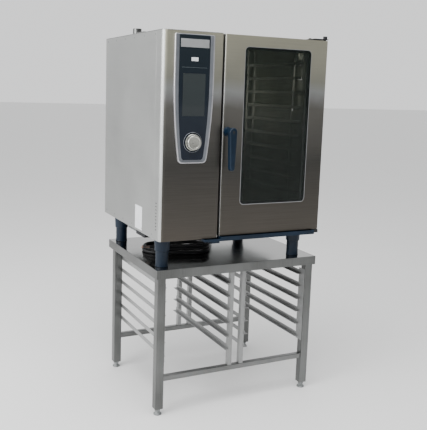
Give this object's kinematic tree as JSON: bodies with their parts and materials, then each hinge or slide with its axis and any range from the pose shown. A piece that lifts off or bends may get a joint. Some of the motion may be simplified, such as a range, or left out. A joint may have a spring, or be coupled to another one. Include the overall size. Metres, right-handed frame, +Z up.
{
  "type": "combi steamer oven",
  "caption": "Table-top combi steamer oven with a control column, a hinged glass door and hanging racks, on an open rack stand, with a coiled supply cable.",
  "frame": {"origin": "on the floor, under the middle of the bounding box of the oven and its stand", "axes": "+Z up, front (door and controls) faces -Y, +X to the right as seen from the front"},
  "size_m": [0.859, 0.842, 1.7813],
  "materials": {
    "brushed_steel": "brushed stainless steel, vertical grain",
    "satin_steel": "fine satin stainless steel",
    "polished_steel": "bright stainless steel",
    "galvanised": "galvanised sheet steel",
    "aluminium": "turned, satin",
    "silver_trim": "silver painted, satin",
    "blue_plastic": "moulded dark blue",
    "black_plastic": "moulded black",
    "rubber": "matt black",
    "dark_glass": "tinted oven glass",
    "panel_glass": "dark navy back-printed glass",
    "screen": "switched-off display",
    "copper": "stripped insulated cores"
  },
  "bodies": {
    "root": {"air_baffle": "polished_steel", "air_duct": "black_plastic", "badge_plate": "silver_trim", "bottom_hinge_bracket": "black_plastic", "cable_gland": "black_plastic", "cavity_lamp": "dark_glass", "cavity_liner": "polished_steel", "control_bezel": "silver_trim", "control_column": "brushed_steel", "control_glass": "panel_glass", "display_panel": "screen", "door_seal": "rubber", "drain_pipe": "galvanised", "drip_tray": "blue_plastic", "electronics_box": "galvanised", "fan_motor": "galvanised", "floor_pan": "galvanised", "front_cross_rail": "brushed_steel", "front_frame": "brushed_steel", "heater_coil": "galvanised", "inner_left_ladder": "brushed_steel", "inner_right_ladder": "brushed_steel", "left_side_panel": "satin_steel", "leg_front_left": "brushed_steel", "leg_front_right": "brushed_steel", "leg_rear_left": "brushed_steel", "leg_rear_right": "brushed_steel", "outer_left_ladder": "brushed_steel", "outer_right_ladder": "brushed_steel", "rear_cross_rail": "brushed_steel", "rear_panel": "satin_steel", "right_side_panel": "satin_steel", "roof_vent": "polished_steel", "stand_top": "polished_steel", "steam_generator": "galvanised", "supply_cable": "rubber", "supply_cable_coil": "rubber", "supply_cable_cores": "copper", "terminal_box": "galvanised", "top_cover": "satin_steel", "top_hinge_bracket": "black_plastic"},
    "door": {"door_shell": "brushed_steel", "door_back_panel": "satin_steel", "outer_glass": "dark_glass", "inner_glass": "dark_glass"},
    "door_handle": {"handle_lever": "blue_plastic"},
    "dial_stem": {"dial_shaft": "aluminium"},
    "dial": {"dial_knob": "aluminium"},
    "usb_cover": {"usb_flap": "silver_trim"},
    "fan": {"fan_wheel": "polished_steel"},
    "left_rack": {"rack_left": "polished_steel"},
    "right_rack": {"rack_right": "polished_steel"},
    "oven_foot_front_left_screw": {"oven_foot_front_left": "blue_plastic"},
    "oven_foot_front_right_screw": {"oven_foot_front_right": "blue_plastic"},
    "oven_foot_rear_left_screw": {"oven_foot_rear_left": "blue_plastic"},
    "oven_foot_rear_right_screw": {"oven_foot_rear_right": "blue_plastic"},
    "stand_foot_front_left_screw": {"stand_foot_front_left": "galvanised"},
    "stand_foot_front_right_screw": {"stand_foot_front_right": "galvanised"},
    "stand_foot_rear_left_screw": {"stand_foot_rear_left": "galvanised"},
    "stand_foot_rear_right_screw": {"stand_foot_rear_right": "galvanised"}
  },
  "joints": [
    {"name": "door_swing", "type": "hinge", "parent": "root", "child": "door", "pos_m": [0.4175, -0.343, 1.275], "axis": [0, 0, 1], "range_deg": [0, 180]},
    {"name": "handle_turn", "type": "hinge", "parent": "door", "child": "door_handle", "pos_m": [-0.0975, -0.385, 1.303], "axis": [0, 1, 0], "range_deg": [-80, 80]},
    {"name": "dial_press", "type": "slide", "parent": "root", "child": "dial_stem", "axis": [0, 1, 0], "range_m": [0, 0.002], "stiffness_N_per_m": 800},
    {"name": "dial_turn", "type": "hinge", "parent": "dial_stem", "child": "dial", "pos_m": [-0.2715, -0.375, 1.256], "axis": [0, -1, 0], "continuous": true},
    {"name": "usb_flap_lift", "type": "hinge", "parent": "root", "child": "usb_cover", "pos_m": [-0.2715, -0.3636, 1.6218], "axis": [-1, 0, 0], "range_deg": [0, 100]},
    {"name": "fan_spin", "type": "hinge", "parent": "root", "child": "fan", "pos_m": [-0.0775, -0.008, 1.324], "axis": [1, 0, 0], "continuous": true},
    {"name": "left_rack_unhook", "type": "slide", "parent": "root", "child": "left_rack", "axis": [0, 0, 1], "range_m": [0, 0.012]},
    {"name": "right_rack_unhook", "type": "slide", "parent": "root", "child": "right_rack", "axis": [0, 0, 1], "range_m": [0, 0.012]},
    {"name": "oven_foot_front_left_turn", "type": "hinge", "parent": "root", "child": "oven_foot_front_left_screw", "pos_m": [-0.3775, -0.295, 0.755], "axis": [0, 0, 1], "continuous": true},
    {"name": "oven_foot_front_right_turn", "type": "hinge", "parent": "root", "child": "oven_foot_front_right_screw", "pos_m": [0.3245, -0.295, 0.755], "axis": [0, 0, 1], "continuous": true},
    {"name": "oven_foot_rear_left_turn", "type": "hinge", "parent": "root", "child": "oven_foot_rear_left_screw", "pos_m": [-0.3775, 0.257, 0.755], "axis": [0, 0, 1], "continuous": true},
    {"name": "oven_foot_rear_right_turn", "type": "hinge", "parent": "root", "child": "oven_foot_rear_right_screw", "pos_m": [0.3245, 0.257, 0.755], "axis": [0, 0, 1], "continuous": true},
    {"name": "stand_foot_front_left_turn", "type": "hinge", "parent": "root", "child": "stand_foot_front_left_screw", "pos_m": [-0.4005, -0.338, 0.015], "axis": [0, 0, 1], "continuous": true},
    {"name": "stand_foot_front_right_turn", "type": "hinge", "parent": "root", "child": "stand_foot_front_right_screw", "pos_m": [0.3885, -0.338, 0.015], "axis": [0, 0, 1], "continuous": true},
    {"name": "stand_foot_rear_left_turn", "type": "hinge", "parent": "root", "child": "stand_foot_rear_left_screw", "pos_m": [-0.4005, 0.251, 0.015], "axis": [0, 0, 1], "continuous": true},
    {"name": "stand_foot_rear_right_turn", "type": "hinge", "parent": "root", "child": "stand_foot_rear_right_screw", "pos_m": [0.3885, 0.251, 0.015], "axis": [0, 0, 1], "continuous": true}
  ]
}
